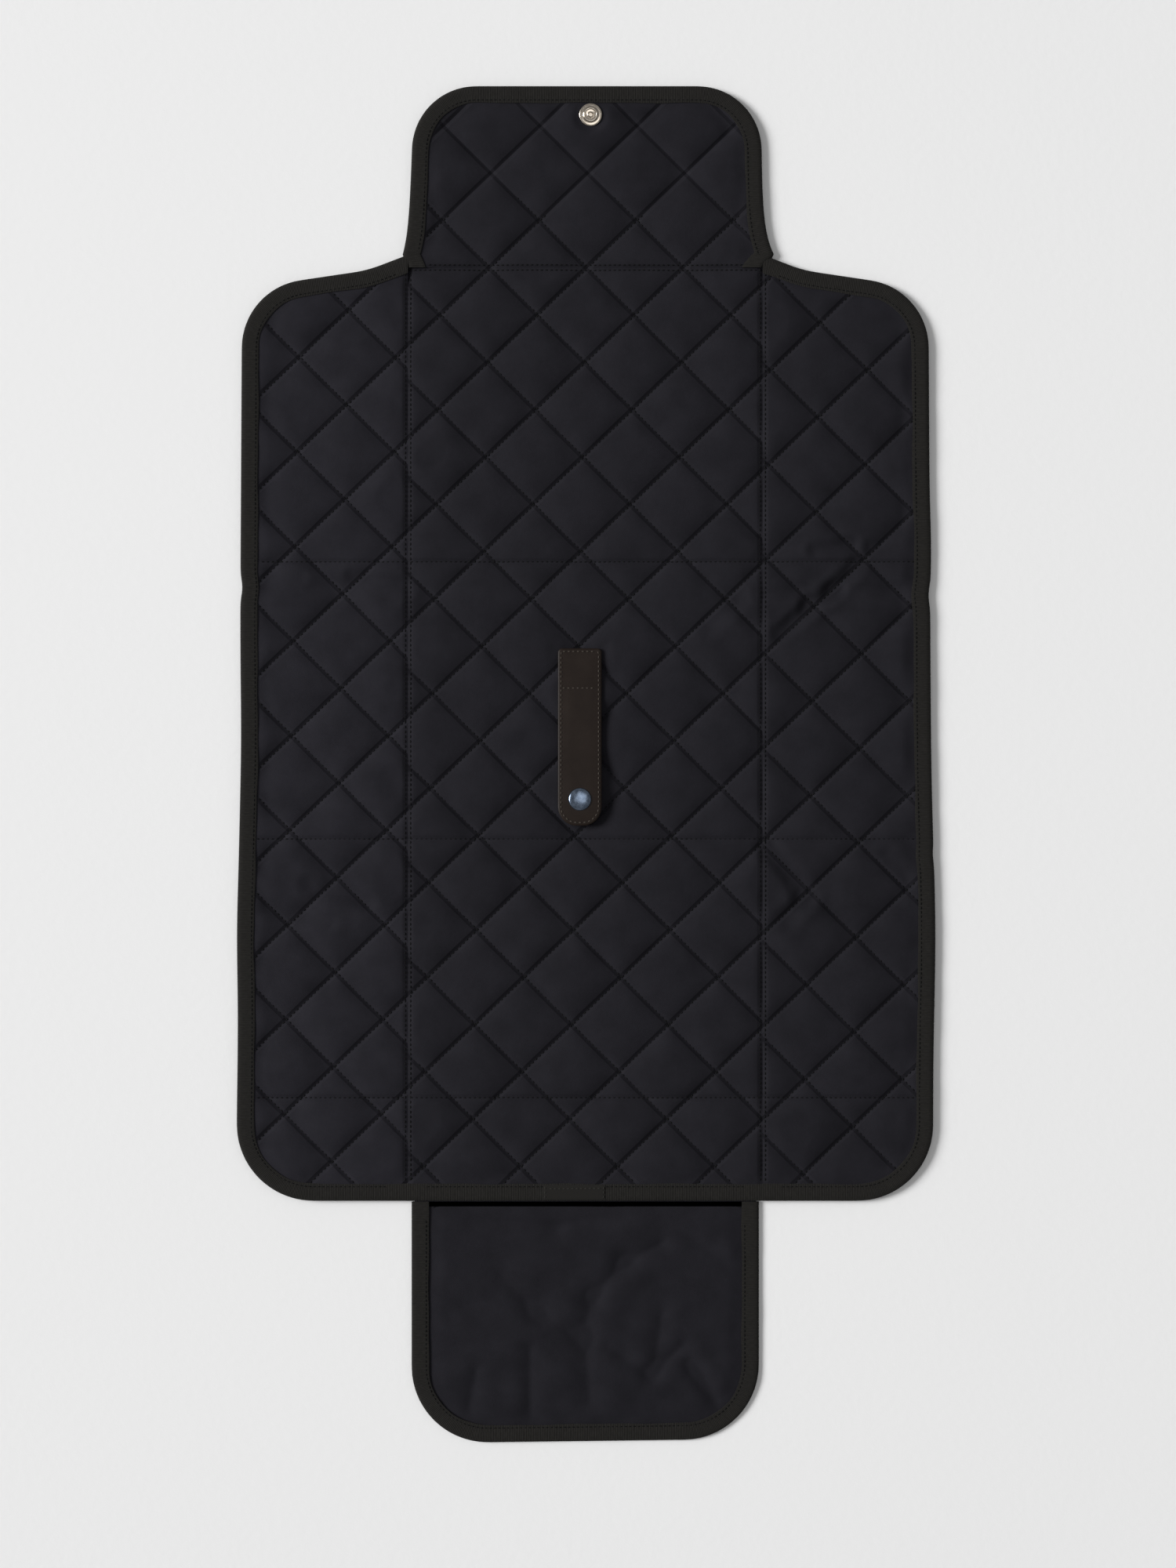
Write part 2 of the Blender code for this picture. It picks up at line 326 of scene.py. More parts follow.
# Creases left by folding: start, end, half width and depth
CREASES = [
    ((-237, 122), (-124, 123), 5.0, 1.0),
    ((-222, 132), (-196, 129), 4.0, 0.8),
    ((-160, 131), (-128, 126), 4.0, 1.0),
    ((126, 117), (152, 120), 5.0, 1.3),
    ((170, 119), (238, 119), 5.0, 1.2),
    ((133, 92), (154, 109), 5.0, 1.8),
    ((154, 109), (172, 121), 5.0, 2.0),
    ((172, 121), (187, 138), 4.5, 1.3),
    ((158, 148), (184, 152), 4.0, 1.4),
    ((196, 150), (226, 146), 4.0, 0.9),
    ((126, -58), (152, -92), 6.0, 1.6),
    ((152, -92), (140, -108), 5.0, 1.0),
    ((-226, -72), (-190, -82), 5.0, 0.9),
    ((-190, -82), (-150, -94), 5.0, 0.8),
    ((-222, -98), (-176, -108), 5.0, 0.8),
    ((100, 118), (122, 100), 7.0, 0.9),
    ((84, 92), (108, 116), 5.0, 0.7),
    ((208, -62), (236, -96), 5.0, 0.9),
]


def creased(x, y):
    """What the creases take from the height, and the low rise on each side of them."""
    total = np.zeros(x.shape)
    for start, end, width, depth in CREASES:
        gap = edge_distance(x, y, [start, end])
        total -= depth * np.exp(-((gap / width) ** 2))
        total += depth * 0.35 * np.exp(-(((gap - 1.8 * width) / (0.8 * width)) ** 2))
    return total


def tab_clearance(x, y):
    """Height of the tab's underside over each point, and how near the point is to it."""
    along = np.clip(TAB_FOLD_Y - y, 0, None)
    height = SEWN_LOW[2] - 1.5 + along * math.tan(TAB_TILT)
    out_x = np.abs(x - TAB_X) - TAB_HALF
    out_y = np.maximum(y - SEWN_HIGH[1], TAB_LOW[1] - y)
    return height, np.maximum(out_x, out_y)


def quilt_top(x, y, path):
    """Height of the quilted face."""
    rising, row = line_distance(x, y, RISING)
    falling, column = line_distance(x, y, FALLING)
    puff = CELL_PUFF[row % 64, column % 64]
    lean = CELL_TILT[row % 64, column % 64]
    valley_rising = np.exp(-((rising / 7.0) ** 1.15))
    valley_falling = np.exp(-((falling / 6.2) ** 1.15))
    fill = (1 - valley_rising) * (1 - 0.95 * valley_falling)
    relief = (CREST - VALLEY) * fill * puff
    for axis, near in enumerate((rising, falling)):
        relief += 0.02 * fill * lean[..., axis] * (near - 8)
    height = VALLEY + relief
    for seam in CROSS_SEAMS:
        height -= 1.3 * np.exp(-((np.abs(y - seam) / 2.6) ** 1.2)) * fill
    for angle, length, phase in WAVES:
        run = x * math.cos(angle) + y * math.sin(angle)
        height += 0.07 * np.sin(2 * math.pi * run / length + phase)
    height += creased(x, y)
    fold = fold_distance(x, y)
    height -= 1.8 * np.exp(-((fold / 3.6) ** 1.2)) * fill
    height = np.minimum(height, FOLD_TOP + 0.05 * fold)
    rim = edge_distance(x, y, path)
    height = RIM_TOP + (height - RIM_TOP) * smooth(rim, TAPE_WIDTH - 1, TAPE_WIDTH + 9)
    height = np.minimum(height, RIM_TOP + 10 * smooth(rim, TAPE_WIDTH - 1, TAPE_WIDTH + 14))
    under, near = tab_clearance(x, y)
    pressed = 1 - smooth(near, -1, 9)
    height = height + (np.minimum(height, under) - height) * pressed
    near = np.hypot(x - SNAP_X, y - SNAP_Y)
    pressed = 1 - smooth(near, SNAP_R + 0.3, SNAP_R + 6)
    height = height + (FLAP_STUD_BASE - 0.5 - height) * pressed
    return np.clip(height, 1.8, CREST)


def quilt_bottom(x, y, path):
    """Height of the underside, which the floor holds nearly flat."""
    rising, _ = line_distance(x, y, RISING)
    falling, _ = line_distance(x, y, FALLING)
    lift = np.exp(-((rising / 4.0) ** 1.3)) + np.exp(-((falling / 4.0) ** 1.3))
    height = UNDERSIDE + 0.5 * np.clip(lift, 0, 1)
    fold = fold_distance(x, y)
    height += 0.5 * np.exp(-((fold / 4.0) ** 2))
    rim = edge_distance(x, y, path)
    return RIM_BOTTOM + (height - RIM_BOTTOM) * smooth(rim, TAPE_WIDTH - 1, TAPE_WIDTH + 9)


# The lower flap lies in loose folds: start, end, half width and depth of each
FOLDS = [
    ((-58, -351), (-34, -377), 7.0, 1.0),
    ((-34, -377), (0, -396), 8.0, 1.3),
    ((0, -396), (3, -438), 8.0, 1.1),
    ((52, -330), (27, -343), 6.0, 1.2),
    ((27, -343), (5, -366), 7.0, 1.5),
    ((5, -366), (0, -386), 7.0, 1.0),
    ((53, -377), (47, -418), 6.0, 0.9),
    ((47, -418), (67, -400), 5.0, 1.2),
    ((16, -400), (42, -419), 6.0, 0.9),
    ((72, -412), (98, -450), 5.0, 1.6),
    ((-38, -402), (-38, -452), 5.5, 0.9),
    ((-75, -416), (-80, -444), 5.5, 0.9),
    ((53, -312), (98, -344), 8.0, 0.7),
    ((-78, -312), (-20, -317), 6.0, 1.0),
    ((-20, -317), (24, -308), 6.0, 0.7),
    ((-92, -376), (-60, -366), 7.0, 0.5),
]


def lower_flap_height(x, y, path):
    """Height of the lower flap's face: folds with a low rise beside them, and slow waves."""
    height = np.full(x.shape, 2.5)
    for start, end, width, depth in FOLDS:
        gap = edge_distance(x, y, [start, end])
        height -= 1.7 * depth * np.exp(-((gap / width) ** 1.3))
        height += 0.3 * depth * np.exp(-(((gap - 2.0 * width) / (1.3 * width)) ** 2))
    for angle, length, phase in WAVES[:6]:
        run = x * math.cos(angle) + y * math.sin(angle)
        height += 0.16 * np.sin(4 * math.pi * run / length + phase)
    rim = edge_distance(x, y, path)
    height = 1.3 + (height - 1.3) * smooth(rim, TAPE_WIDTH - 2, TAPE_WIDTH + 12)
    height = 1.5 + (height - 1.5) * smooth(LOWER_FOLD_Y - y, 4, 18)
    return np.clip(height, 0.6, 3.8)


# Mesh helpers


def new_object(name, verts, faces, material, smooth_angle=None):
    mesh = bpy.data.meshes.new(name)
    mesh.from_pydata([tuple(float(c) * MM for c in v) for v in verts], [], faces)
    mesh.validate()
    mesh.update()
    thing = bpy.data.objects.new(name, mesh)
    bpy.context.collection.objects.link(thing)
    mesh.materials.append(material)
    mesh.shade_smooth()
    if smooth_angle:
        mesh.set_sharp_from_angle(angle=math.radians(smooth_angle))
    return thing


def grid_lines(low, high, step=GRID):
    return np.linspace(low, high, max(2, int(round((high - low) / step)) + 1))


def sheet_mesh(name, xs, ys, keep, top, bottom, material, smooth_angle=60):
    """A closed mesh over the kept points of a grid, from its top and bottom heights."""
    wide, deep = np.meshgrid(xs, ys, indexing="ij")
    cells = keep[:-1, :-1] & keep[1:, :-1] & keep[:-1, 1:] & keep[1:, 1:]
    used = np.zeros(keep.shape, bool)
    for i in (0, 1):
        for j in (0, 1):
            used[i : used.shape[0] - 1 + i, j : used.shape[1] - 1 + j] |= cells
    index = -np.ones(keep.shape, int)
    index[used] = np.arange(used.sum())
    count = int(used.sum())
    flat = (wide[used], deep[used])
    verts = np.concatenate(
        [
            np.stack([*flat, top[used]], axis=1),
            np.stack([*flat, bottom[used]], axis=1),
        ]
    )
    at = np.argwhere(cells)
    i, j = at[:, 0], at[:, 1]
    quads = np.stack(
        [index[i, j], index[i + 1, j], index[i + 1, j + 1], index[i, j + 1]], axis=1
    )
    faces = [tuple(q) for q in quads.tolist()]
    faces += [tuple(reversed(q)) for q in (quads + count).tolist()]
    # Edges that have a face on one side only get a wall down to the bottom
    edges = {}
    for quad in quads.tolist():
        for k in range(4):
            a, b = quad[k], quad[(k + 1) % 4]
            if (b, a) in edges:
                del edges[(b, a)]
            else:
                edges[(a, b)] = True
    faces += [(b, a, a + count, b + count) for a, b in edges]
    return new_object(name, verts, faces, material, smooth_angle)


def tape(name, path, top, material, cut_ends=True):
    """Binding tape folded over an edge, swept along it, with its length along U."""
    points = resample(path, 2.5)
    thick = 0.55
    # Each point's distance in from the edge, its height and its share of the way round
    section = [
        (TAPE_WIDTH, thick, 0.0),
        (TAPE_WIDTH, 0.05, 0.06),
        (TAPE_WIDTH * 0.6, 0.0, 0.14),
        (1.4, 0.0, 0.26),
        (0.35, 0.22 * top, 0.32),
        (0.0, 0.5 * top, 0.38),
        (0.35, 0.82 * top, 0.44),
        (1.5, 0.97 * top, 0.5),
        (TAPE_WIDTH * 0.3, top, 0.58),
        (TAPE_WIDTH * 0.55, top * 0.985, 0.68),
        (TAPE_WIDTH * 0.8, top * 0.96, 0.8),
        (TAPE_WIDTH - 0.4, top * 0.955, 0.9),
        (TAPE_WIDTH, top * 0.93, 0.94),
        (TAPE_WIDTH, top * 0.93 - thick, 0.96),
        (1.6, top * 0.95 - thick, 0.98),
        (1.2, 0.5 * top, 0.99),
        (1.6, thick, 1.0),
    ]
    square = left_ways(points)
    if cut_ends:
        cut = points[-1] - points[0]
        cut /= np.linalg.norm(cut)
        for end, way in ((0, cut), (-1, -cut)):
            way = way / max(0.3, abs(float(way @ square[end])))
            reach = 6
            for k in range(reach):
                at = k if end == 0 else -1 - k
                share = k / reach
                square[at] = square[at] * share + way * (1 - share)
    verts, uvs = [], []
    for (x, y), (nx, ny), length in zip(points, square, run_along(points)):
        sway = 0.22 * math.sin(length / 13.0) + 0.15 * math.sin(length / 5.7 + 1.0)
        wave = 0.10 * math.sin(length / 9.0 + 2.0) + 0.06 * math.sin(length / 3.7)
        for across, height, around in section:
            loose = across / TAPE_WIDTH
            out = across + sway * loose
            lift = wave * smooth(height, 0.3 * top, top)
            verts.append((x + nx * out, y + ny * out, height + lift))
            uvs.append((length * MM, around * 2 * TAPE_WIDTH * MM))
    size = len(section)
    faces = []
    for step in range(len(points) - 1):
        for k in range(size):
            after = (k + 1) % size
            a, b = step * size + k, (step + 1) * size + k
            c, d = (step + 1) * size + after, step * size + after
            faces.append((a, b, c, d))
    last = (len(points) - 1) * size
    faces.append(tuple(range(size)))
    faces.append(tuple(last + k for k in reversed(range(size))))
    thing = new_object(name, verts, faces, material, smooth_angle=50)
    layer = thing.data.uv_layers.new(name="Along")
    for loop in thing.data.loops:
        layer.data[loop.index].uv = uvs[loop.vertex_index]
    return thing


def stitch_row(rows, points, heights, spacing, radius, share=STITCH_SHARE):
    """Adds stitches along a line to rows, each as its two ends and its radius."""
    run = run_along(points)
    count = int(run[-1] / spacing)
    for index in range(count):
        middle = (index + 0.5) * spacing
        ends = [middle - spacing * share / 2, middle + spacing * share / 2]
        spots = [[np.interp(e, run, points[:, k]) for k in (0, 1)] for e in ends]
        lifts = [np.interp(e, run, heights) for e in ends]
        rows.append((*spots[0], lifts[0], *spots[1], lifts[1], radius))


# A stitch's rings, as shares of its length, its radius and its rise: its ends bend down
STITCH_RINGS = [
    (0.0, 0.15, -0.7),
    (0.14, 0.85, -0.1),
    (0.5, 1.0, 0.2),
    (0.86, 0.85, -0.1),
    (1.0, 0.15, -0.7),
]


def stitches(name, rows, material):
    """One mesh of all the stitches in a list of rows, each a short bead of thread."""
    sides = 6
    verts, faces = [], []
    for ax, ay, az, bx, by, bz, radius in rows:
        length = math.hypot(bx - ax, by - ay) or 1.0
        nx, ny = -(by - ay) / length, (bx - ax) / length
        base = len(verts)
        for share, fat, up in STITCH_RINGS:
            cx, cy = ax + (bx - ax) * share, ay + (by - ay) * share
            cz = az + (bz - az) * share + up * radius
            for side in range(sides):
                angle = 2 * math.pi * side / sides
                off = math.cos(angle) * radius * fat
                rise = math.sin(angle) * radius * fat
                verts.append((cx + nx * off, cy + ny * off, cz + rise))
        for ring in range(len(STITCH_RINGS) - 1):
            for side in range(sides):
                a = base + ring * sides + side
                b = base + ring * sides + (side + 1) % sides
                faces.append((a, b, b + sides, a + sides))
        faces.append(tuple(base + side for side in reversed(range(sides))))
        top = base + (len(STITCH_RINGS) - 1) * sides
        faces.append(tuple(top + side for side in range(sides)))
    return new_object(name, verts, faces, material)


def lathe(name, x, y, profile, material, on_tab=False):
    """A round piece from a (radius, height) profile, tilted with the tab if it is on it."""
    steps = 64
    verts, faces, rings = [], [], []
    for radius, height in profile:
        count = 1 if radius == 0 else steps
        start = len(verts)
        for step in range(count):
            angle = 2 * math.pi * step / steps
            spot = [x + radius * math.cos(angle), y + radius * math.sin(angle), height]
            verts.append(tilted(spot) if on_tab else spot)
        rings.append((start, count))
    for (a, count_a), (b, count_b) in zip(rings, rings[1:]):
        for step in range(steps):
            after = (step + 1) % steps
            if count_a == 1:
                faces.append((a, b + step, b + after))
            elif count_b == 1:
                faces.append((a + step, b, a + after))
            else:
                faces.append((a + step, b + step, b + after, a + after))
    return new_object(name, verts, faces, material, smooth_angle=40)


def tilted(spot):
    """A point of the tab, raised as the tab is by the socket under it."""
    x, y, z = spot
    dy, dz = y - TAB_FOLD_Y, z - TAB_FOLD_Z
    cos, sin = math.cos(TAB_TILT), math.sin(TAB_TILT)
    return [x, TAB_FOLD_Y + dy * cos + dz * sin, TAB_FOLD_Z - dy * sin + dz * cos]


# Materials


class Nodes:
    """A short way to write a material's nodes."""

    def __init__(self, name, colour, rough, metal=0.0):
        self.material = bpy.data.materials.new(name)
        self.material.use_nodes = True
        self.tree = self.material.node_tree
        self.shader = self.tree.nodes["Principled BSDF"]
        self.shader.inputs["Base Color"].default_value = (*colour, 1)
        self.shader.inputs["Roughness"].default_value = rough
        self.shader.inputs["Metallic"].default_value = metal
        coords = self.tree.nodes.new("ShaderNodeTexCoord")
        self.place = coords.outputs["Object"]
        self.uv = coords.outputs["UV"]

    def link(self, source, target):
        self.tree.links.new(source, target)

    def maths(self, operation, first, second=0.0):
        node = self.tree.nodes.new("ShaderNodeMath")
        node.operation = operation
        for socket, value in zip(node.inputs, (first, second)):
            if isinstance(value, bpy.types.NodeSocket):
                self.link(value, socket)
            else:
                socket.default_value = value
        return node.outputs[0]

    def vector(self, operation, first, second):
        node = self.tree.nodes.new("ShaderNodeVectorMath")
        node.operation = operation
        self.link(first, node.inputs[0])
        node.inputs[1].default_value = second
        return node.outputs

    def stretch(self, vector, scale):
        return self.vector("MULTIPLY", vector, scale)["Vector"]

    def dot(self, vector, way):
        return self.vector("DOT_PRODUCT", vector, way)["Value"]

    def noise(self, vector, scale, detail=3.0):
        node = self.tree.nodes.new("ShaderNodeTexNoise")
        self.link(vector, node.inputs["Vector"])
        node.inputs["Scale"].default_value = scale
        node.inputs["Detail"].default_value = detail
        node.inputs["Roughness"].default_value = 0.55
        return node.outputs["Fac"]

    def ramp(self, value, stops):
        node = self.tree.nodes.new("ShaderNodeValToRGB")
        self.link(value, node.inputs["Fac"])
        ramp = node.color_ramp
        while len(ramp.elements) < len(stops):
            ramp.elements.new(0.5)
        for element, (at, colour) in zip(ramp.elements, stops):
            element.position = at
            element.color = (*colour, 1)
        return node.outputs["Color"]

    def bump(self, height, strength, distance):
        node = self.tree.nodes.new("ShaderNodeBump")
        node.inputs["Strength"].default_value = strength
        node.inputs["Distance"].default_value = distance
        self.link(height, node.inputs["Height"])
        previous = self.shader.inputs["Normal"]
        if previous.links:
            self.link(previous.links[0].from_socket, node.inputs["Normal"])
        self.link(node.outputs["Normal"], previous)

    def colour(self, output):
        self.link(output, self.shader.inputs["Base Color"])

    def rough(self, output):
        self.link(output, self.shader.inputs["Roughness"])


def weave(nodes, pitch, strength):
    """Crossing threads of a plain weave, as a bump."""
    across = nodes.dot(nodes.place, (2 * math.pi / pitch, 0, 0))
    along = nodes.dot(nodes.place, (0, 2 * math.pi / pitch, 0))
    mixed = nodes.maths("MULTIPLY", nodes.maths("SINE", across), nodes.maths("SINE", along))
    nodes.bump(mixed, strength, 0.00012)


def groove(nodes, near, half, depth):
    """A stitched groove, from the distance to its line."""
    shape = nodes.maths("MINIMUM", nodes.maths("MULTIPLY", near, 1 / (half * MM)), 1.0)
    nodes.bump(shape, 0.8, depth * MM)


def seam_distance(nodes, way, place):
    across = nodes.maths("SUBTRACT", nodes.dot(nodes.place, way), place * MM)
    return nodes.maths("ABSOLUTE", across)


def cloth(name, tone, quilted=False, shift=0.0):
    """The mat's cloth; shift is the step that its falling quilting lines take."""
    # tone scales the cloth's colour; the wings' tones are painted light and shade, lighter on the
    # left wing and darker on the right
    dark = (0.0098 * tone, 0.0093 * tone, 0.0122 * tone)
    light = (0.0152 * tone, 0.0145 * tone, 0.0186 * tone)
    nodes = Nodes(name, dark, 0.82)
    mottle = nodes.noise(nodes.place, 55.0, 4.0)
    speck = nodes.noise(nodes.place, 1500.0, 2.0)
    broad = nodes.maths("MULTIPLY", mottle, 0.55)
    both = nodes.maths("ADD", broad, nodes.maths("MULTIPLY", speck, 0.45))
    nodes.colour(nodes.ramp(both, [(0.35, dark), (0.65, light)]))
    nodes.rough(nodes.maths("ADD", nodes.maths("MULTIPLY", speck, 0.18), 0.70))
    nodes.bump(nodes.noise(nodes.place, 260.0, 3.0), 0.25, 0.0004)
    weave(nodes, 0.0009, 0.35)
    if quilted:
        for family, push in ((RISING, 0.0), (FALLING, shift)):
            _, normal, spacing = family
            start = QUILT_POINT[0] * normal[0] + QUILT_POINT[1] * normal[1] + push
            across = nodes.dot(nodes.place, (float(normal[0]), float(normal[1]), 0))
            across = nodes.maths("SUBTRACT", across, float(start) * MM)
            groove(nodes, nodes.maths("PINGPONG", across, float(spacing) * MM / 2), 2.4, 1.3)
        for seam in (*CROSS_SEAMS, FLAP_FOLD_Y):
            groove(nodes, seam_distance(nodes, (0, 1, 0), seam), 2.2, 0.6)
        for side in (-1, 1):
            groove(nodes, seam_distance(nodes, (1, 0, 0), side * FOLD_X), 3.8, 0.8)
    nodes.shader.inputs["Sheen Weight"].default_value = 0.03
    nodes.shader.inputs["Sheen Roughness"].default_value = 0.45
    nodes.shader.inputs["Sheen Tint"].default_value = (0.85, 0.85, 1.0, 1)
    nodes.shader.inputs["Specular IOR Level"].default_value = 0.1
    return nodes.material


def tape_material():
    dark, light = (0.0102, 0.0095, 0.0084), (0.0156, 0.0146, 0.0131)
    nodes = Nodes("binding_tape_weave", dark, 0.85)
    speck = nodes.noise(nodes.stretch(nodes.uv, (900.0, 300.0, 1.0)), 1.0, 2.0)
    nodes.colour(nodes.ramp(speck, [(0.3, dark), (0.7, light)]))
    rib = nodes.dot(nodes.uv, (2 * math.pi / 0.0012, 0, 0))
    nodes.bump(nodes.maths("SINE", rib), 0.55, 0.00018)
    nodes.bump(nodes.noise(nodes.stretch(nodes.uv, (160.0, 160.0, 1.0)), 1.0), 0.3, 0.0004)
    nodes.shader.inputs["Sheen Weight"].default_value = 0.04
    nodes.shader.inputs["Specular IOR Level"].default_value = 0.15
    return nodes.material


def leather_material():
    dark, light = (0.0115, 0.0070, 0.0050), (0.0160, 0.0105, 0.0078)
    nodes = Nodes("tab_leather_grain", dark, 0.5)
    nodes.shader.inputs["Specular IOR Level"].default_value = 0.15
    tone = nodes.noise(nodes.place, 70.0, 4.0)
    nodes.colour(nodes.ramp(tone, [(0.3, dark), (0.7, light)]))
    cells = nodes.tree.nodes.new("ShaderNodeTexVoronoi")
    nodes.link(nodes.place, cells.inputs["Vector"])
    cells.inputs["Scale"].default_value = 1100.0
    nodes.bump(cells.outputs["Distance"], 0.25, 0.0001)
    nodes.bump(nodes.noise(nodes.place, 300.0, 4.0), 0.2, 0.0002)
    nodes.rough(nodes.maths("ADD", nodes.maths("MULTIPLY", tone, 0.2), 0.38))
    return nodes.material


def edge_paint_material():
    nodes = Nodes("tab_edge_paint", (0.010, 0.006, 0.005), 0.45)
    nodes.shader.inputs["Specular IOR Level"].default_value = 0.25
    nodes.bump(nodes.noise(nodes.place, 400.0, 3.0), 0.3, 0.0002)
    return nodes.material


def thread_material(name, colour):
    nodes = Nodes(name, colour, 0.75)
    nodes.bump(nodes.noise(nodes.place, 3000.0, 2.0), 0.3, 0.0001)
    nodes.shader.inputs["Specular IOR Level"].default_value = 0.15
    return nodes.material


def metal_material(name, dark, light, rough):
    nodes = Nodes(name, dark, rough, 1.0)
    tone = nodes.noise(nodes.place, 500.0, 3.0)
    nodes.colour(nodes.ramp(tone, [(0.3, dark), (0.7, light)]))
    nodes.rough(nodes.maths("ADD", nodes.maths("MULTIPLY", tone, 0.12), rough - 0.05))
    nodes.bump(nodes.noise(nodes.place, 900.0, 3.0), 0.06, 0.0001)
    return nodes.material


CLOTH = cloth("quilted_cloth_weave", 1.0, True)
# The wings get copies of the cloth with painted light: the left one lighter, as if lit, and the
# right one darker, as if shaded
PAINTED_LIT_LEFT_CLOTH = cloth("left_wing_cloth_painted_lit", 1.22, True, LEFT_SHIFT)
PAINTED_SHADE_RIGHT_CLOTH = cloth("right_wing_cloth_painted_shade", 0.95, True, RIGHT_SHIFT)
PLAIN = cloth("plain_cloth_weave", 0.97)
TAPE = tape_material()
LEATHER = leather_material()
EDGE_PAINT = edge_paint_material()
THREAD_DARK = thread_material("thread_black", (0.003, 0.003, 0.0035))
THREAD_BROWN = thread_material("thread_brown", (0.060, 0.050, 0.042))
THREAD_GREY = thread_material("thread_grey", (0.030, 0.029, 0.026))
GUNMETAL = metal_material("gunmetal", (0.10, 0.13, 0.18), (0.20, 0.25, 0.33), 0.22)
NICKEL = metal_material("nickel", (0.46, 0.40, 0.33), (0.68, 0.61, 0.52), 0.2)


def wear(thing, body, slot, *replaced):
    """Puts a piece on its body, in place of its CAD nodes; slot is not used."""
    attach(thing, body)
    if replaced:
        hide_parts(*replaced)


# Pieces


def stitched_lines():
    """Both ends of every stitched line of the mat, and whether it is a falling one."""
    lines = []
    reach = 900
    for family in (RISING, FALLING):
        along = family[0]
        for k in range(-14, 15):
            base = np.array(QUILT_POINT) + np.array([QUILT_ACROSS * k, 0])
            lines.append((base - along * reach, base + along * reach, family is FALLING))
    for seam in CROSS_SEAMS:
        lines.append((np.array([-SEAM_REACH, seam]), np.array([SEAM_REACH, seam]), False))
    for side in (-1, 1):
        for x in (side * FOLD_X - SEAM_HALF, side * FOLD_X + SEAM_HALF):
            lines.append((np.array([x, BOTTOM_Y]), np.array([x, FLAP_FOLD_Y]), False))
    for y in (FLAP_FOLD_Y - SEAM_HALF, FLAP_FOLD_Y + SEAM_HALF):
        lines.append((np.array([-FOLD_X, y]), np.array([FOLD_X, y]), False))
    return lines


def seam_rows(path, ring, span):
    """The stitches that fall on one panel."""
    rows = []
    x_low, x_high, y_low, y_high = span
    for start, end, falls in stitched_lines():
        count = int(np.linalg.norm(end - start) / STITCH)
        shares = (np.arange(count) + 0.5) / count
        way = (end - start) / count
        mids = start + (end - start) * shares[:, None]
        if falls:
            mids = mids + FALLING[1] * falling_shift(mids[:, 0])[:, None]
        x, y = mids[:, 0], mids[:, 1]
        fine = (x > x_low) & (x < x_high) & (y > y_low) & (y < y_high) & inside(x, y, ring)
        fine &= edge_distance(x, y, path) > TAPE_WIDTH + 0.5
        _, near = tab_clearance(x, y)
        fine &= near > 0.5
        fine &= np.abs(np.abs(x) - FOLD_X) > (FALLING_CLEAR if falls else SEAM_CLEAR)
        fine &= np.abs(y - FLAP_FOLD_Y) > SEAM_CLEAR
        if not fine.any():
            continue
        mids = mids[fine]
        half = way * STITCH_SHARE / 2
        tops = quilt_top(mids[:, 0], mids[:, 1], path) + 0.02
        for middle, top in zip(mids, tops):
            rows.append((*(middle - half), top, *(middle + half), top, THREAD))
    return rows


def edge_stitches(path, top):
    """The stitches that hold the tape, near its inner edge."""
    rows = []
    points = resample(path, 2.5)
    square = left_ways(points)
    inner = (points + square * (TAPE_WIDTH - 1.9))[5:-5]
    stitch_row(rows, inner, np.full(len(inner), top * 0.955 + 0.08), TAPE_STITCH, TAPE_THREAD)
    return rows


def build_panel(name, path, ring, span, material):
    """A panel's padding, which stands for its three layers, and the thread through it."""
    x_low, x_high, y_low, y_high = span
    xs = grid_lines(x_low, x_high)
    ys = grid_lines(y_low, y_high)
    wide, deep = np.meshgrid(xs, ys, indexing="ij")
    keep = inside(wide, deep, ring) & (edge_distance(wide, deep, path) > 2.2)
    top = quilt_top(wide, deep, path)
    bottom = quilt_bottom(wide, deep, path)
    pad = sheet_mesh(name + "_quilt", xs, ys, keep, top, bottom, material)
    layers = [name + layer for layer in ("_face", "_wadding", "_backing")]
    wear(pad, name, "quilted_cloth", *layers)
    rows = seam_rows(path, ring, span)
    sewn = stitches(name + "_quilting_thread", rows, THREAD_DARK)
    wear(sewn, name, "quilted_cloth")


def build_tape(name, body, path, top, cut_ends=True):
    """The binding along a path and the thread that holds it."""
    strip = tape(name + "_tape", path, top, TAPE, cut_ends)
    wear(strip, body, "binding_tape", name + "_binding")
    thread = stitches(name + "_tape_thread", edge_stitches(path, top), THREAD_DARK)
    wear(thread, body, "binding_tape")


def past_fold(path, axis, fold, step):
    """A path as a ring, pushed past its fold so that points on the fold are inside."""
    ring = []
    for point in path:
        spot = list(point)
        if abs(spot[axis] - fold) < 0.01:
            spot[axis] += step
        ring.append(tuple(spot))
    return ring


def build_centre():
    """The middle, taped along its lower edge only."""
    edge = [(-FOLD_X, BOTTOM_Y), (FOLD_X, BOTTOM_Y)]
    ring = [
        (-FOLD_X - 1, BOTTOM_Y),
        (FOLD_X + 1, BOTTOM_Y),
        (FOLD_X + 1, FLAP_FOLD_Y + 1),
        (-FOLD_X - 1, FLAP_FOLD_Y + 1),
    ]
    span = (-FOLD_X, FOLD_X, BOTTOM_Y, FLAP_FOLD_Y)
    build_panel("centre", edge, ring, span, CLOTH)
    build_tape("bottom", "centre", edge, TAPE_TOP, cut_ends=False)


def build_wing(name, sign):
    path = wing_path(sign)
    span = (FOLD_X, WING_X, BOTTOM_Y, SHOULDER_Y)
    if sign < 0:
        span = (-WING_X, -FOLD_X, BOTTOM_Y, SHOULDER_Y)
    ring = past_fold(path, 0, sign * FOLD_X, -sign)
    # Each wing takes its copy of the cloth with painted light: lighter on the left, painted shade
    # on the right
    build_panel(name, path, ring, span, PAINTED_LIT_LEFT_CLOTH if sign < 0 else PAINTED_SHADE_RIGHT_CLOTH)
    build_tape(name, name, path, TAPE_TOP)


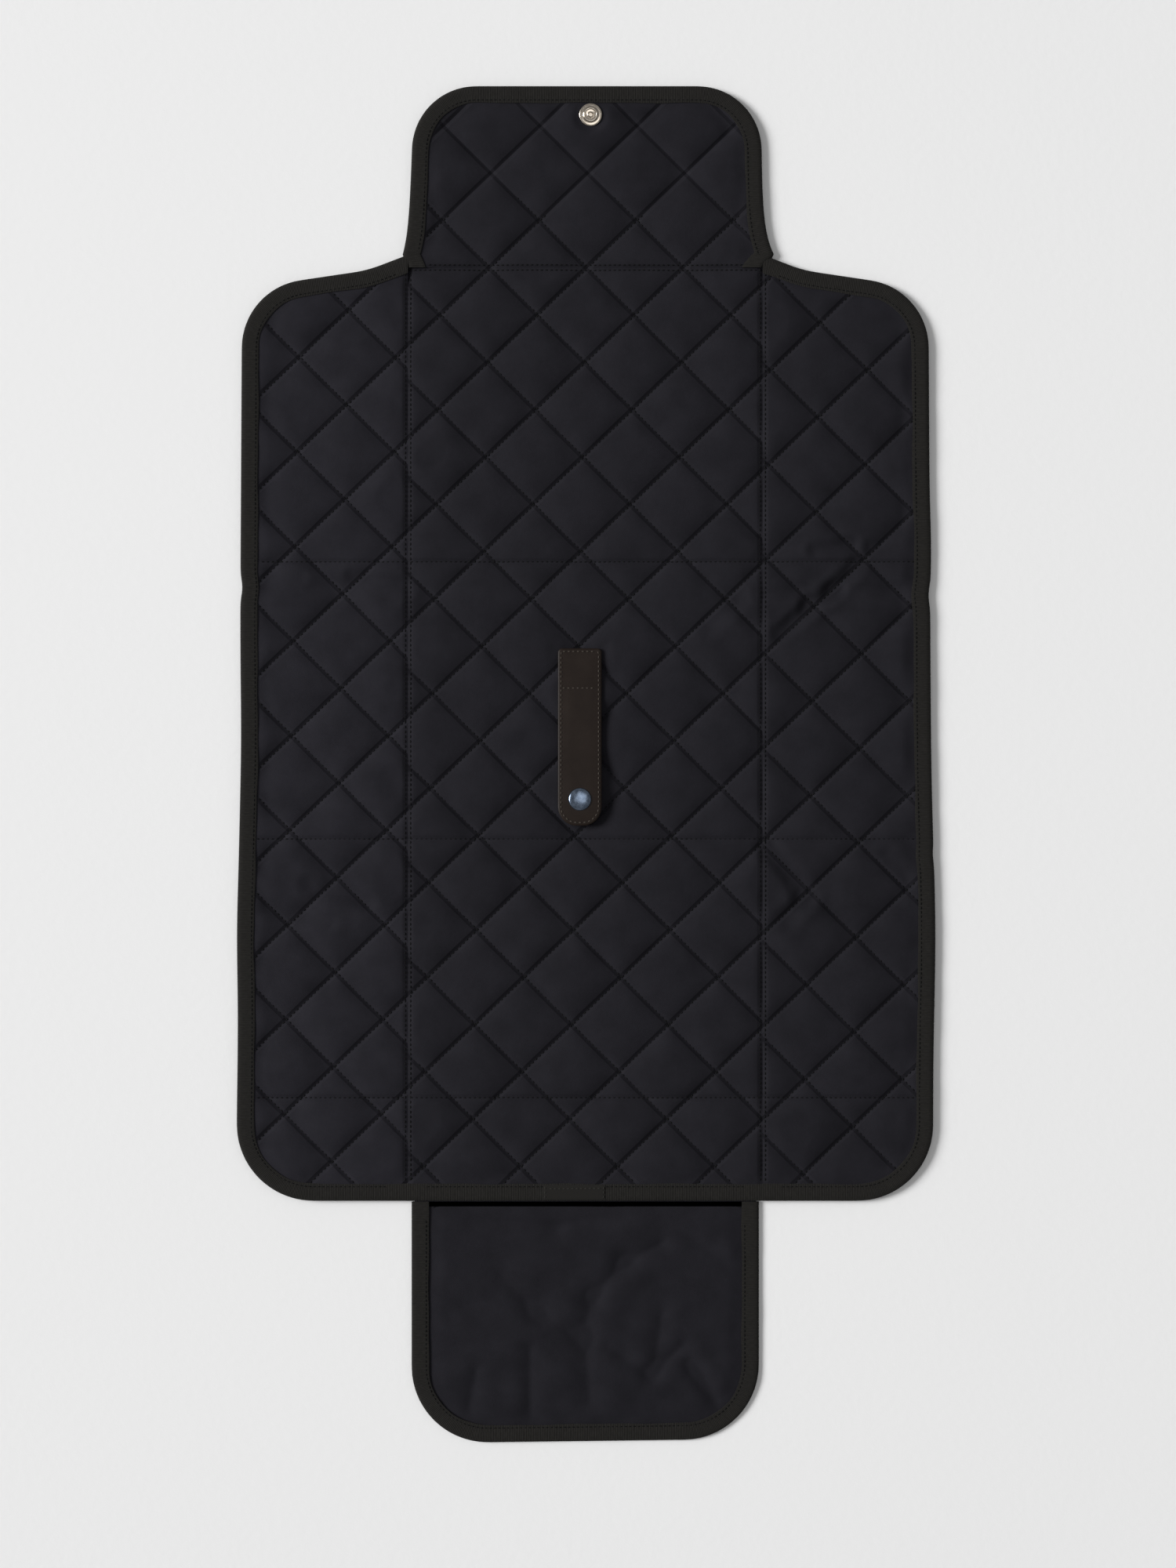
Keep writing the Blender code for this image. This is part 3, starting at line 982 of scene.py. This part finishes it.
def build_top_flap():
    path = top_flap_path()
    ring = past_fold(path, 1, FLAP_FOLD_Y, -1)
    span = (-FOLD_X, FOLD_X, FLAP_FOLD_Y, TOP_Y)
    build_panel("top_flap", path, ring, span, CLOTH)
    build_tape("top_flap", "top_flap", path, TAPE_TOP)


def build_lower_flap():
    path = lower_flap_path()
    xs = grid_lines(-LOWER_X, LOWER_X)
    ys = grid_lines(LOWER_Y, LOWER_FOLD_Y)
    wide, deep = np.meshgrid(xs, ys, indexing="ij")
    ring = past_fold(path, 1, LOWER_FOLD_Y, 1)
    keep = inside(wide, deep, ring) & (edge_distance(wide, deep, path) > 1.7)
    top = lower_flap_height(wide, deep, path)
    cloth_piece = sheet_mesh("lower_flap_ply", xs, ys, keep, top, top - 0.5, PLAIN)
    wear(cloth_piece, "lower_flap", "plain_cloth", "lower_flap_cloth")
    build_tape("lower_flap", "lower_flap", path, LOWER_TAPE_TOP)


def build_fold_web(body, low, high, top, way):
    """The sewn web that joins a panel to the middle: a thin strip across the fold.

    It runs from low to high along the fold, and way points across it, out of the middle.
    """
    half = WEB_WIDTH / 2
    if way[0]:
        xs = np.linspace(low[0] - half, low[0] + half, WEB_STEPS)
        ys = np.linspace(low[1], high[1], WEB_ROWS)
    else:
        xs = np.linspace(low[0], high[0], WEB_ROWS)
        ys = np.linspace(low[1] - half, low[1] + half, WEB_STEPS)
    face = np.full((len(xs), len(ys)), top)
    name = body + "_fold_web"
    web = sheet_mesh(name, xs, ys, face > 0, face, face - WEB_THICK, PLAIN, None)
    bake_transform(web)


def build_webs():
    for body, sign in (("left_wing", -1), ("right_wing", 1)):
        x = sign * FOLD_X
        low, high = (x, BOTTOM_Y + TAPE_WIDTH), (x, FLAP_FOLD_Y - 3)
        build_fold_web(body, low, high, WEB_TOP, (sign, 0))
    low, high = (3 - FOLD_X, FLAP_FOLD_Y), (FOLD_X - 3, FLAP_FOLD_Y)
    build_fold_web("top_flap", low, high, WEB_TOP, (0, 1))
    low, high = (2 - LOWER_X, LOWER_FOLD_Y), (LOWER_X - 2, LOWER_FOLD_Y)
    build_fold_web("lower_flap", low, high, LOWER_WEB_TOP, (0, -1))


# The leather tab


def tab_half_width(y):
    """Half the tab's width at a height along it, with round corners at both ends."""
    past_top = y - (SEWN_HIGH[1] - TAB_TOP_R)
    past_end = TAB_TIP_Y + TAB_END_R - y
    for past, radius in ((past_top, TAB_TOP_R), (past_end, TAB_END_R)):
        if past > 0:
            return TAB_HALF - radius + math.sqrt(max(0.0, radius**2 - past**2))
    return TAB_HALF


def tab_stations():
    """Places down the tab's length, closer together in its round corners."""
    top, bottom = SEWN_HIGH[1], TAB_TIP_Y
    ys = [top - TAB_TOP_R * (1 - math.cos(a)) for a in np.linspace(0, math.pi / 2, 7)]
    straight = np.arange(top - TAB_TOP_R - 1.2, bottom + TAB_END_R + 0.6, -1.2)
    ys += list(straight)
    ys += [bottom + TAB_END_R * (1 - math.sin(a)) for a in np.linspace(0, math.pi / 2, 15)]
    return ys


def tab_outline():
    """The tab's outline as a ring of points, which runs clockwise."""
    right = [(TAB_X + tab_half_width(y), y) for y in tab_stations()]
    left = [(2 * TAB_X - x, y) for x, y in reversed(right)]
    return right + left


def tab_height(x, y, ring):
    """Height of the leather's face: round edges, a stitched groove, a seam and a low crown."""
    rim = edge_distance(x, y, [*ring, ring[0]])
    rounding = 0.75 * np.exp(-((rim / 0.55) ** 1.3))
    groove = 0.16 * np.exp(-(((rim - TAB_STITCH_IN) / 0.55) ** 2))
    seam = 0.14 * np.exp(-(((y - TAB_FOLD_Y) / 0.55) ** 2)) * (rim > 2.0)
    crown = 0.35 * smooth(rim, 2.2, 9.0)
    return TAB_TOP_Z - rounding - groove - seam + crown


def build_tab():
    ring = tab_outline()
    ys = tab_stations()
    columns = -np.cos(np.linspace(0, math.pi, 33))
    verts, faces = [], []
    for layer in (0, 1):
        for y in ys:
            half = max(tab_half_width(y), 0.02)
            xs = TAB_X + columns * half
            heights = tab_height(xs, np.full(xs.shape, y), ring)
            for x, height in zip(xs, heights):
                spot = [x, y, height if layer == 0 else TAB_BASE_Z]
                verts.append(tilted(spot) if y < TAB_FOLD_Y else spot)
    wide, deep = len(columns), len(ys)
    under = wide * deep
    for row in range(deep - 1):
        for step in range(wide - 1):
            a = row * wide + step
            faces.append((a + wide, a + wide + 1, a + 1, a))
            faces.append((a + under, a + 1 + under, a + wide + 1 + under, a + wide + under))
    first_side = len(faces)
    last_row, last_step = (deep - 1) * wide, wide - 1
    walls = [(row * wide + wide, row * wide) for row in range(deep - 1)]
    walls += [(b + last_step, a + last_step) for a, b in walls]
    across = [(step, step + 1) for step in range(wide - 1)]
    walls += across + [(b + last_row, a + last_row) for a, b in across]
    faces += [(a, b, b + under, a + under) for a, b in walls]
    strap = new_object("tab_strap", verts, faces, LEATHER, smooth_angle=55)
    strap.data.materials.append(EDGE_PAINT)
    for polygon in strap.data.polygons:
        if polygon.index >= first_side:
            polygon.material_index = 1
    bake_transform(strap)
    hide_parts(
        "tab_leather", "tab_lining", "tab_sewn_end_leather", "tab_sewn_end_lining"
    )
    build_tab_stitches(ring)


def build_tab_stitches(ring):
    """The row of stitches round the tab, and the one across it where it folds."""
    loop = resample([*ring, ring[0]], 1.0)
    path = loop - left_ways(loop) * TAB_STITCH_IN
    rows = []
    heights = tab_height(path[:, 0], path[:, 1], ring) + 0.2
    stitch_row(rows, path, heights, TAB_STITCH, THREAD, TAB_STITCH_SHARE)
    width = TAB_HALF - 2.6
    seam = resample([(TAB_X - width, TAB_FOLD_Y), (TAB_X + width, TAB_FOLD_Y)], 1.0)
    heights = np.full(len(seam), TAB_TOP_Z + 0.3)
    stitch_row(rows, seam, heights, TAB_STITCH, THREAD, TAB_STITCH_SHARE)
    raised = []
    for ax, ay, az, bx, by, bz, radius in rows:
        if max(ay, by) < TAB_FOLD_Y - 0.4:
            ax, ay, az = tilted([ax, ay, az])
            bx, by, bz = tilted([bx, by, bz])
        raised.append((ax, ay, az, bx, by, bz, radius))
    thread = stitches("tab_thread", raised, THREAD_BROWN)
    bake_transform(thread)


def dome_profile(radius, base, height):
    """A domed cap's profile, from its rim to the middle."""
    steps = 12
    points = []
    for step in range(steps + 1):
        angle = math.pi / 2 * step / steps
        points.append((radius * math.cos(angle), base + height * math.sin(angle)))
    points[-1] = (0, base + height)
    return points


def build_studs():
    low, high = box_mm("tab_snap_cap")
    x = (low[0] + high[0]) / 2
    y = (low[1] + high[1]) / 2 - 0.1
    cap_r = (high[0] - low[0]) / 2
    base = TAB_TOP_Z + 0.25
    cap = [(0, base - 1.0), (cap_r * 0.5, base - 1.0), (cap_r * 0.97, base), (cap_r, base + 0.25)]
    cap += dome_profile(cap_r * 0.97, base + 0.5, 1.25)
    dome = lathe("tab_stud_cap", x, y, cap, GUNMETAL, on_tab=True)
    wear(dome, "tab", "dark_metal", "tab_snap_cap")
    under = TAB_BASE_Z - 0.15
    socket = [
        (0, under),
        (5.8, under),
        (6.0, under - 0.3),
        (6.0, under - 0.6),
        (5.4, under - 1.0),
        (4.9, under - 1.9),
        (4.3, under - 2.1),
        (3.0, under - 2.1),
        (2.6, under - 1.8),
        (2.5, under - 0.8),
        (0, under - 0.8),
    ]
    ring = lathe("tab_stud_socket", x, y, list(reversed(socket)), NICKEL, on_tab=True)
    wear(ring, "tab", "bright_metal", "tab_snap_socket")
    x, y, outer = SNAP_X, SNAP_Y, SNAP_R
    base = FLAP_STUD_BASE
    stud = [
        (0, base - 0.6),
        (outer - 1, base - 0.6),
        (outer, base + 0.1),
        (outer - 0.1, base + 0.45),
        (outer - 0.5, base + 0.65),
        (outer - 1.3, base + 0.75),
        (outer - 2.0, base + 0.7),
        (outer - 2.5, base + 0.9),
        (outer - 2.7, base + 1.8),
        (outer - 3.1, base + 2.2),
        (outer - 3.6, base + 2.3),
        (outer - 4.0, base + 2.1),
        (outer - 4.2, base + 0.5),
        (2.3, base + 0.4),
        (2.2, base + 1.4),
        (1.9, base + 1.6),
        (1.5, base + 1.5),
        (1.3, base + 1.2),
        (1.2, base + 0.2),
        (0, base + 0.2),
    ]
    post = lathe("flap_stud", x, y, stud, NICKEL)
    wear(post, "top_flap", "bright_metal", "flap_snap_stud")
    plate = [(0, 0.0), (outer - 1.4, 0.0), (outer - 0.7, 0.25), (outer - 1.0, 0.6), (0, 0.6)]
    back = lathe("flap_stud_back_plate", x, y, plate, NICKEL)
    wear(back, "top_flap", "bright_metal", "flap_snap_back_plate")


def build_tape_join():
    """Where the ends of the tape overlap, on the lower edge of the middle."""
    left, right = TAPE_JOIN
    xs = grid_lines(left, right, 1.0)
    low, high = BOTTOM_Y + 0.9, BOTTOM_Y + TAPE_WIDTH - 0.8
    ys = grid_lines(low, high, 0.7)
    wide, deep = np.meshgrid(xs, ys, indexing="ij")
    rim = np.minimum(np.minimum(wide - left, right - wide), np.minimum(deep - low, high - deep))
    top = TAPE_TOP - 0.1 + 0.4 * smooth(rim, 0, 1.4)
    keep = np.ones(wide.shape, bool)
    patch = sheet_mesh("bottom_tape_join", xs, ys, keep, top, top - 0.3, TAPE)
    wear(patch, "centre", "binding_tape")
    rows = []
    lines = [((x, BOTTOM_Y + 1.5), (x, BOTTOM_Y + 10.5)) for x in (left + 1.4, right - 1.4)]
    lines.append(((left + 4, BOTTOM_Y + 8.6), (right - 3, BOTTOM_Y + 8.9)))
    for line in lines:
        line = resample(line, 1.0)
        heights = np.full(len(line), TAPE_TOP + 0.35)
        stitch_row(rows, line, heights, TAPE_STITCH, TAPE_THREAD)
    thread = stitches("bottom_tape_join_thread", rows, THREAD_GREY)
    wear(thread, "centre", "binding_tape")


def dress_hem():
    """The lower flap's sewn end lies under the middle and stays as the CAD has it."""
    hem = bpy.data.objects["lower_flap_hem"]
    hem.data.materials.clear()
    hem.data.materials.append(PLAIN)


# Floor, light and camera

FRAME_HIGH = 1.08  # metres of floor that the picture's height shows
VIEW_CENTRE = (0.0019, -0.0132)
CAMERA_HIGH = 2.6
KEY_TURN = math.radians(170)  # the sun's direction, from +X, and its height
KEY_RISE = math.radians(32)
FLOOR_HALF = 20.0
FLOOR_DROP = 0.0004


def build_stage():
    size = FLOOR_HALF
    mesh = bpy.data.meshes.new("floor")
    corners = [(-size, -size, 0), (size, -size, 0), (size, size, 0), (-size, size, 0)]
    mesh.from_pydata(corners, [], [(0, 1, 2, 3)])
    floor = bpy.data.objects.new("floor", mesh)
    bpy.context.collection.objects.link(floor)
    floor.location.z = -FLOOR_DROP
    nodes = Nodes("floor_paper", (0.88, 0.88, 0.88), 0.9)
    nodes.bump(nodes.noise(nodes.place, 180.0, 4.0), 0.12, 0.001)
    mesh.materials.append(nodes.material)


def area_light(name, place, target, size, power):
    light = bpy.data.lights.new(name, "AREA")
    light.shape = "RECTANGLE"
    light.size, light.size_y = size
    light.energy = power
    thing = bpy.data.objects.new(name, light)
    bpy.context.collection.objects.link(thing)
    thing.location = place
    thing.rotation_euler = (Vector(target) - Vector(place)).to_track_quat("-Z", "Y").to_euler()


def build_light():
    world = bpy.data.worlds.new("studio")
    bpy.context.scene.world = world
    world.use_nodes = True
    back = world.node_tree.nodes["Background"]
    back.inputs["Color"].default_value = (1, 1, 1, 1)
    back.inputs["Strength"].default_value = 0.28
    sun = bpy.data.lights.new("key", "SUN")
    sun.energy = 3.05
    sun.angle = math.radians(24)
    key = bpy.data.objects.new("key", sun)
    bpy.context.collection.objects.link(key)
    flat = math.cos(KEY_RISE)
    way = (math.cos(KEY_TURN) * flat, math.sin(KEY_TURN) * flat, math.sin(KEY_RISE))
    key.rotation_euler = Vector(way).to_track_quat("Z", "Y").to_euler()
    area_light("side", (-2.6, 0.6, 1.5), (-0.3, 0, 0), (1.6, 1.6), 13)
    area_light("top", (0.2, 0.42, 2.9), (0, 0, 0), (1.0, 1.0), 6)
    bpy.context.scene.view_settings.view_transform = "Standard"


def build_camera():
    data = bpy.data.cameras.new("camera")
    data.sensor_fit = "VERTICAL"
    data.angle = 2 * math.atan(FRAME_HIGH / 2 / CAMERA_HIGH)
    camera = bpy.data.objects.new("camera", data)
    bpy.context.collection.objects.link(camera)
    camera.location = (*VIEW_CENTRE, CAMERA_HIGH)
    bpy.context.scene.camera = camera


build_stage()
build_light()
build_camera()
build_centre()
build_wing("left_wing", -1)
build_wing("right_wing", 1)
build_top_flap()
build_lower_flap()
build_webs()
build_tab()
build_studs()
build_tape_join()
dress_hem()
